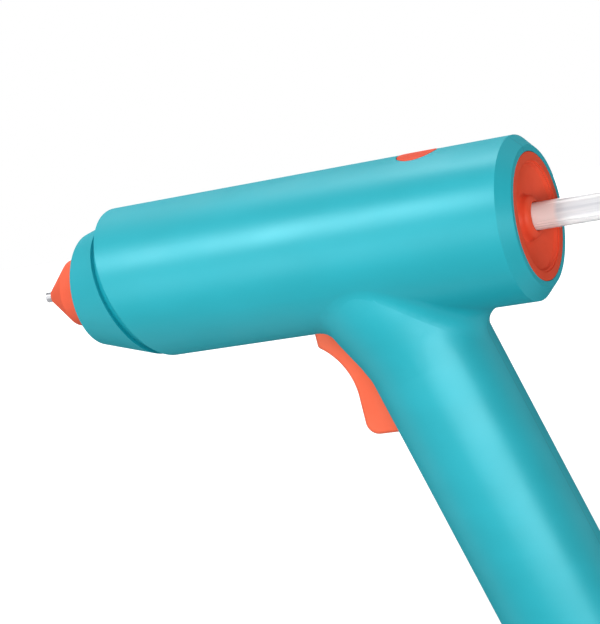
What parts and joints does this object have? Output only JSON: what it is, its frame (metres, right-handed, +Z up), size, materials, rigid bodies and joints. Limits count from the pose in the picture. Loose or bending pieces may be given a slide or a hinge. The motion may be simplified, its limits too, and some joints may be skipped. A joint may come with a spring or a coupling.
{
  "type": "hot glue gun",
  "caption": "Cordless pistol-grip hot glue gun with a round barrel, a coned nozzle, a finger trigger that feeds a glue stick through the rear cap, and a power button on top.",
  "frame": {"origin": "centre of the nozzle's outlet face", "axes": "+X along the barrel to the rear, +Y to the right-hand side, +Z up; the handle hangs towards -Z"},
  "size_m": [0.1651, 0.042, 0.1483],
  "materials": {
    "teal_plastic": "satin moulded plastic",
    "coral_plastic": "satin moulded plastic",
    "coral_silicone": "smooth heat-proof silicone",
    "steel": "turned steel",
    "spring_steel": "drawn spring steel",
    "cast_aluminium": "die-cast, as cast",
    "heater_ceramic": "sintered",
    "fuse_ceramic": "sintered",
    "brass_strip": "stamped strip",
    "insulator": "moulded glass-filled plastic",
    "clear_silicone": "soft silicone",
    "glue": "clear hot-melt glue",
    "white_plastic": "moulded acetal",
    "circuit_board": "solder mask",
    "black_plastic": "moulded plastic",
    "cell_wrap": "shrink sleeve",
    "socket_metal": "stamped steel shell",
    "lead_red": "silicone lead",
    "lead_black": "silicone lead"
  },
  "bodies": {
    "housing": {"housing_left": "teal_plastic", "housing_right": "teal_plastic", "housing_screws": "steel", "nose_collar": "teal_plastic", "nozzle_sleeve": "coral_silicone", "nozzle": "steel", "melt_chamber": "cast_aluminium", "heater": "heater_ceramic", "heater_electrodes": "brass_strip", "thermal_fuse": "fuse_ceramic", "fuse_clip": "spring_steel", "chamber_support": "insulator", "inlet_sleeve": "clear_silicone", "sleeve_clamp": "spring_steel", "rear_cap": "coral_plastic", "trigger_pin": "steel", "return_spring": "spring_steel", "switch_board": "circuit_board", "tact_switch": "black_plastic", "battery_cell": "cell_wrap", "battery_cradle": "black_plastic", "battery_contacts": "spring_steel", "main_board": "circuit_board", "board_parts": "black_plastic", "charging_socket": "socket_metal", "handle_end_cap": "teal_plastic", "heater_leads": "lead_red", "switch_leads": "lead_black"},
    "trigger": {"trigger": "coral_plastic"},
    "feed": {"feed_carriage": "white_plastic", "jaw_pin": "steel"},
    "jaw": {"grip_jaw": "spring_steel"},
    "stick": {"glue_stick": "glue"},
    "button": {"power_button": "coral_plastic", "switch_plunger": "black_plastic"}
  },
  "joints": [
    {"name": "trigger_pull", "type": "hinge", "parent": "housing", "child": "trigger", "pos_m": [0.0806, 0, -0.0133], "axis": [0, -1, 0], "range_deg": [0, 12], "stiffness_Nm_per_rad": 0.8, "springref_deg": -8.59},
    {"name": "feed_slide", "type": "slide", "parent": "housing", "child": "feed", "axis": [-1, 0, 0], "range_m": [0, 0.0037], "deforming": ["return_spring"]},
    {"name": "stick_feed", "type": "slide", "parent": "housing", "child": "stick", "axis": [-1, 0, 0], "range_m": [0, 0.0037]},
    {"name": "jaw_lift", "type": "hinge", "parent": "feed", "child": "jaw", "pos_m": [0.09304, 0, 0.0066], "axis": [0, 1, 0], "range_deg": [0, 8], "stiffness_Nm_per_rad": 0.02, "springref_deg": -5.73},
    {"name": "button_press", "type": "slide", "parent": "housing", "child": "button", "axis": [0, 0, -1], "range_m": [0, 0.0006], "stiffness_N_per_m": 1000, "springref_m": -0.001}
  ],
  "couplings": [
    {"joint": "feed_slide", "follows": "trigger_pull", "m_per_rad": 0.017564},
    {"joint": "stick_feed", "follows": "trigger_pull", "m_per_rad": 0.017564}
  ]
}
